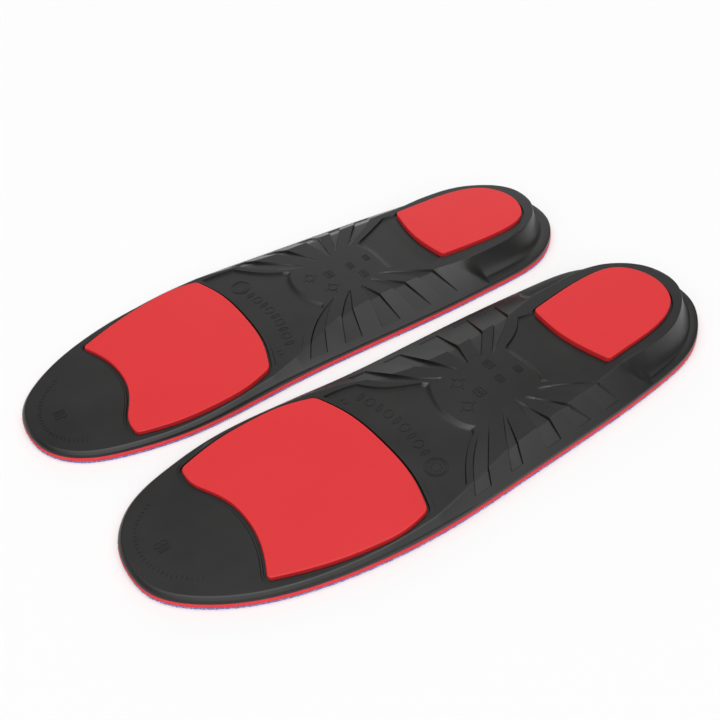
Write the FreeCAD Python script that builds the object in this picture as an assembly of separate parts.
import FreeCAD, Part
import math
import os

# A pair of cushioned sport insoles, lying sole side up on a flat surface.
# +Z is up, +Y points to the toes, and the right insole is on the -X side.
# Each insole is five pieces: a moulded black shell, a forefoot and a heel gel pad set into the
# shell, a thin foam layer under the shell, and the top cloth that the foot stands on.
# One insole is drawn about its own centre, medial side towards +X, and the other is its mirror image.

# ---- driving dimensions, in millimetres ----
CLOTH = 0.8                 # thickness of the top cloth
FOAM = 2.0                  # thickness of the foam layer
PAD_RECESS = 1.0            # depth of a pad's seat below the sole
PAD_GAP = 0.9               # groove between a pad and the wall of its seat
PAD_CORNER = 2.0            # corner radius of a pad, seen from above
PANEL_DEPTH = 0.5           # depth of the two sunk panels beside the hub
WEDGE_DEPTH = 0.9           # depth of the wedge pockets that fan out from the hub
BEAD = 1.5                  # width of the flat lip round the rim
FOOTBED_SLOPE = 20.0        # width of the slope between the rim and the hollow of the footbed
SPACING = 95.8              # between the two insoles' centres, across the pair
STAGGER = 6.1               # how far the left insole lies ahead of the right
TOE_OUT = 2.3               # angle of each insole to the pair's centre line, in degrees
WALL_MIX_FROM = -22.0       # place along X where the wall's width starts to change to the medial one
WALL_MIX_RUN = 34.0         # distance over which it changes
GRID_X = 5.0                # spacing across and along of the points that carry the curved surfaces
GRID_Y = 7.5
GRID_COLUMNS = 21           # how many such points there are across and along
GRID_ROWS = 41
RIM_STEPS = 300             # short straight runs that stand for the rim when distances are measured
REACH = 40.0                # more than the height of anything here
WIDE = 80.0                 # more than the half width of anything here
FINE = 0.05                 # mesh tolerance for finding the lowest point
SLANT = 0.1                 # most that an upright edge may lean

# Rim of the right insole, from the tip of the toe round the medial side and the heel.
RIM = [
    (8.5, 142.5), (24, 139), (35, 129.5), (42.8, 110), (46.6, 84), (45.4, 58), (42.6, 28),
    (41.3, -10), (40.3, -50), (37.7, -90), (33.5, -114), (23, -130.5), (9, -140.5), (-4, -142.5),
    (-16.5, -139.5), (-29, -129), (-39, -112), (-43.4, -90), (-45.8, -50), (-46.6, 0), (-46.4, 40),
    (-43.2, 68), (-38.3, 90), (-30.5, 111), (-18, 130), (-5, 140.2),
]

# Sides of the forefoot pad: towards the toes, lateral, towards the heel, and medial.
FOREFOOT_PAD = [
    [
        (38, 104.8), (29.5, 105), (20.6, 101.4), (11, 98), (1, 97.1), (-8.8, 98.2), (-17, 100.7),
        (-26.7, 105.3),
    ],
    [(-26.7, 105.3), (-35.2, 84), (-39.7, 66), (-41.1, 54), (-39.4, 42.1)],
    [(-39.4, 42.1), (-25.2, 37.1), (-2, 34.7), (21, 36.5), (36, 41.4)],
    [(36, 41.4), (40.5, 54), (42.3, 70), (41.8, 87), (38, 104.8)],
]
# Sides of the heel pad: towards the toes, and all the way round the heel.
HEEL_PAD = [
    [(15.8, -66.1), (-3, -63.8), (-28, -67.6)],
    [
        (-28, -67.6), (-27.5, -83), (-26.2, -101), (-18.5, -118.7), (-2, -124.9), (12.8, -118),
        (17.4, -102), (17.4, -86), (15.8, -66.1),
    ],
]

# Sunk panels on either side of the hub.
TOE_PANEL = [
    (-39.5, 23), (-31, 17), (-24.1, 9.4), (-19.4, 0.1), (-14.4, 2.2), (-7.5, 3.9), (2.7, 2.8),
    (11.5, -0.8), (18.2, 9.6), (31.8, 22.3), (33.5, 36), (21, 33), (-2, 31.2), (-25, 33.5), (-39, 38),
]
HEEL_PANEL = [
    (17.5, -58.2), (13.1, -53.5), (8.8, -46.3), (7.1, -39.9), (-2.6, -39), (-16.9, -37.9),
    (-21.6, -47.9), (-29.4, -58.9), (-28.5, -63.6), (-3, -60.3), (16, -62.3),
]

# Wedge pockets: the point at the hub, the toe-side corner on the shoulder, the two lower corners
# near the rim, and the heel-side corner on the shoulder.
LATERAL_WEDGES = [
    [(-18.8, -7.1), (-36.3, 17.3), (-43, 22), (-43, 14.5), (-38, 11.1)],
    [(-18.1, -14.3), (-37.2, 0.4), (-43, 3), (-43, -5), (-37.4, -5.2)],
    [(-17.5, -19.9), (-37.5, -15.5), (-43, -15.5), (-43, -24.5), (-36.4, -23.2)],
    [(-19.2, -24.4), (-37, -32.7), (-43, -35), (-42.8, -41), (-35.3, -36.7)],
    [(-19.7, -31.4), (-36, -46.2), (-42.6, -50), (-42.4, -57.5), (-34.3, -52.4)],
]
MEDIAL_WEDGES = [
    [(7.5, -12.1), (24.5, 15), (38, 24), (38, 14), (23.3, 6.8)],
    [(9, -16.7), (22.2, -3.6), (38, 4), (38, -6), (21.2, -10.3)],
    [(8.8, -21.5), (20.7, -20), (38, -16.5), (38, -27), (20.8, -26.1)],
    [(8, -27), (21.5, -34), (37.5, -35), (37.2, -44), (22, -40.5)],
    [(6.2, -31.2), (22, -48), (36.8, -52), (36.4, -61), (22.4, -55.5)],
]

# Profiles along the insole, each a list of (place along Y, value).
SOLE_HEIGHT = [
    (-150, 15.9), (-125, 15.6), (-90, 14.4), (-62, 13.2), (-37, 11.9), (0, 9.9), (42, 7.6), (73, 6.1),
    (105, 4.9), (150, 4.4),
]
# Flat tops of the pads, each a place along Y, its height, and the rise per millimetre towards the toes.
FOREFOOT_TOP = (73.0, 7.45, -0.043)
HEEL_TOP = (-90.0, 15.7, -0.04)
CUP_HEIGHT = [
    (-150, 9.2), (-125, 8.9), (-90, 7.9), (-62, 6.8), (-37, 5.5), (0, 3.6), (35, 1.2), (60, 0.0),
    (150, 0.0),
]
RIM_HEIGHT = [(-150, 4.8), (-60, 4.8), (10, 5.0), (45, 6.7), (73, 5.5), (105, 4.4), (150, 4.0)]
LATERAL_WALL = [(-150, 13.5), (-120, 12.5), (-90, 11.2), (-50, 10.7), (0, 8.8), (30, 8.0), (150, 8.0)]
MEDIAL_WALL = [
    (-150, 14.0), (-100, 13.0), (-75, 14.0), (-58, 17.5), (-30, 19.0), (0, 15.5), (28, 9.5), (50, 8.0),
    (150, 8.0),
]


def profile(points, at):
    """Value of a profile at a place, on straight runs between its points."""
    for (a, low), (b, high) in zip(points, points[1:]):
        if at <= b:
            return low + (high - low) * (at - a) / (b - a)
    return points[-1][1]


def ease(t):
    """0 to 1 with no slope at either end."""
    t = min(1.0, max(0.0, t))
    return t * t * (3.0 - 2.0 * t)


def curve(points, closed=False):
    """Smooth plan curve through points."""
    line = Part.Geom2d.BSplineCurve2d()
    line.interpolate(Points=[FreeCAD.Base.Vector2d(x, y) for x, y in points], PeriodicFlag=closed)
    return line


def segments(points):
    """Straight plan lines round a closed outline."""
    ring = points + points[:1]
    corners = [FreeCAD.Base.Vector2d(x, y) for x, y in ring]
    return [Part.Geom2d.Line2dSegment(a, b) for a, b in zip(corners, corners[1:])]


def along(line, count):
    """Points at even parameters along a plan curve, its ends included."""
    start, end = line.FirstParameter, line.LastParameter
    return [start + (end - start) * i / (count - 1) for i in range(count)]


RIM_CURVE = curve(RIM, closed=True)
RIM_POINTS = [(p.x, p.y) for p in map(RIM_CURVE.value, along(RIM_CURVE, RIM_STEPS + 1)[:-1])]


def depth_inside(x, y):
    """Distance from a point to the rim, negative outside it."""
    nearest = REACH
    inside = False
    for (ax, ay), (bx, by) in zip(RIM_POINTS, RIM_POINTS[1:] + RIM_POINTS[:1]):
        dx, dy = bx - ax, by - ay
        t = min(1.0, max(0.0, ((x - ax) * dx + (y - ay) * dy) / (dx * dx + dy * dy)))
        nearest = min(nearest, math.hypot(x - ax - t * dx, y - ay - t * dy))
        if (ay > y) != (by > y) and x < ax + (y - ay) * dx / dy:
            inside = not inside
    return nearest if inside else -nearest


def wall_width(x, y):
    """Width of the sloping wall between the rim's lip and the shoulder."""
    share = ease((x - WALL_MIX_FROM) / WALL_MIX_RUN)
    return (1 - share) * profile(LATERAL_WALL, y) + share * profile(MEDIAL_WALL, y)


def sole_height(x, y, deep):
    """Height of the sole: the lip round the rim, the wall, and the flat middle."""
    low = profile(RIM_HEIGHT, y)
    return low + (profile(SOLE_HEIGHT, y) - low) * ease((deep - BEAD) / wall_width(x, y))


def footbed_height(x, y, deep):
    """Height of the underside, where the foot goes: on the floor at the rim, hollow at the heel."""
    return profile(CUP_HEIGHT, y) * ease(deep / FOOTBED_SLOPE)


def curved_surface(height):
    """Smooth surface through a grid of heights that covers one insole; its parameters are X and Y."""
    x0 = -GRID_X * (GRID_COLUMNS - 1) / 2
    y0 = -GRID_Y * (GRID_ROWS - 1) / 2
    xs = [x0 + GRID_X * i for i in range(GRID_COLUMNS)]
    ys = [y0 + GRID_Y * j for j in range(GRID_ROWS)]
    grid = [[height(x, y, depth_inside(x, y)) for y in ys] for x in xs]
    surface = Part.BSplineSurface()
    surface.interpolate(grid, x0, GRID_X, y0, GRID_Y)
    return surface


SOLE = curved_surface(sole_height)
FOOTBED = curved_surface(footbed_height)


def column(surface, outline, lift, height):
    """Upright solid on the patch of a curved surface inside a closed plan outline."""
    edges = [line.toShape(surface) for line in outline]
    patch = Part.Face(surface, Part.Wire(edges))
    patch.translate(FreeCAD.Vector(0, 0, lift))
    return patch.extrude(FreeCAD.Vector(0, 0, height))


def grown(sides, gap):
    """A pad's outline moved outwards, with its corners cut across."""
    moved = []
    for side in sides:
        line = curve(side)
        ring = []
        for t in along(line, 2 * len(side) - 1):
            place, way = line.value(t), line.tangent(t)
            size = math.hypot(way.x, way.y)
            ring.append((place.x + gap * way.y / size, place.y - gap * way.x / size))
        moved.append(ring)
    outline = []
    for ring, following in zip(moved, moved[1:] + moved[:1]):
        outline.append(curve(ring))
        a, b = FreeCAD.Base.Vector2d(*ring[-1]), FreeCAD.Base.Vector2d(*following[0])
        outline.append(Part.Geom2d.Line2dSegment(a, b))
    return outline


def below_plane(place, height, rise):
    """Wide solid below a plane that tilts only along Y."""
    ends = [(-2 * WIDE, -REACH), (2 * WIDE, -REACH)]
    ends += [(y, height + rise * (y - place)) for y in (2 * WIDE, -2 * WIDE)]
    side = Part.makePolygon([FreeCAD.Vector(-WIDE, y, z) for y, z in ends + ends[:1]])
    return Part.Face(side).extrude(FreeCAD.Vector(2 * WIDE, 0, 0))


def make_pad(sides, top):
    """A gel pad from the bottom of its seat to its flat top, with rounded upright corners."""
    pad = column(SOLE, [curve(side) for side in sides], -PAD_RECESS, REACH).common(below_plane(*top))
    upright = [e for e in pad.Edges if e.BoundBox.XLength + e.BoundBox.YLength < SLANT]
    return pad.makeFillet(PAD_CORNER, upright)


def make_shell():
    """The moulded shell, with seats for the pads, sunk panels and a fan of wedge pockets."""
    below_sole = SOLE.toShape().extrude(FreeCAD.Vector(0, 0, -REACH))
    shell = column(FOOTBED, [RIM_CURVE], CLOTH + FOAM, REACH).common(below_sole)
    for sides in (FOREFOOT_PAD, HEEL_PAD):
        shell = shell.cut(column(SOLE, grown(sides, PAD_GAP), -PAD_RECESS, REACH))
    for panel in (TOE_PANEL, HEEL_PANEL):
        shell = shell.cut(column(SOLE, segments(panel), -PANEL_DEPTH, REACH))
    for wedge in LATERAL_WEDGES + MEDIAL_WEDGES:
        shell = shell.cut(column(SOLE, segments(wedge), -WEDGE_DEPTH, REACH))
    return shell


def make_insole():
    """The five pieces of the right insole, about its own centre."""
    return {
        "shell": make_shell(),
        "forefoot_pad": make_pad(FOREFOOT_PAD, FOREFOOT_TOP),
        "heel_pad": make_pad(HEEL_PAD, HEEL_TOP),
        "foam_layer": column(FOOTBED, [RIM_CURVE], CLOTH, FOAM),
        "top_cloth": column(FOOTBED, [RIM_CURVE], 0, CLOTH),
    }


def placed(piece, lift):
    """A piece of the right insole where it lies, on the -X side."""
    piece = piece.copy()
    piece.rotate(FreeCAD.Vector(0, 0, 0), FreeCAD.Vector(0, 0, 1), TOE_OUT)
    piece.translate(FreeCAD.Vector(-SPACING / 2, -STAGGER / 2, lift))
    return piece


def main():
    """Writes one STEP file for each piece of both insoles, with the cloth resting on the floor."""
    os.makedirs("parts", exist_ok=True)
    pieces = make_insole()
    lowest = min(point.z for point in pieces["top_cloth"].tessellate(FINE)[0])
    for name, piece in pieces.items():
        right = placed(piece, -lowest)
        left = right.mirror(FreeCAD.Vector(0, 0, 0), FreeCAD.Vector(1, 0, 0))
        left.translate(FreeCAD.Vector(0, STAGGER, 0))
        right.exportStep(f"parts/right_{name}.step")
        left.exportStep(f"parts/left_{name}.step")


main()
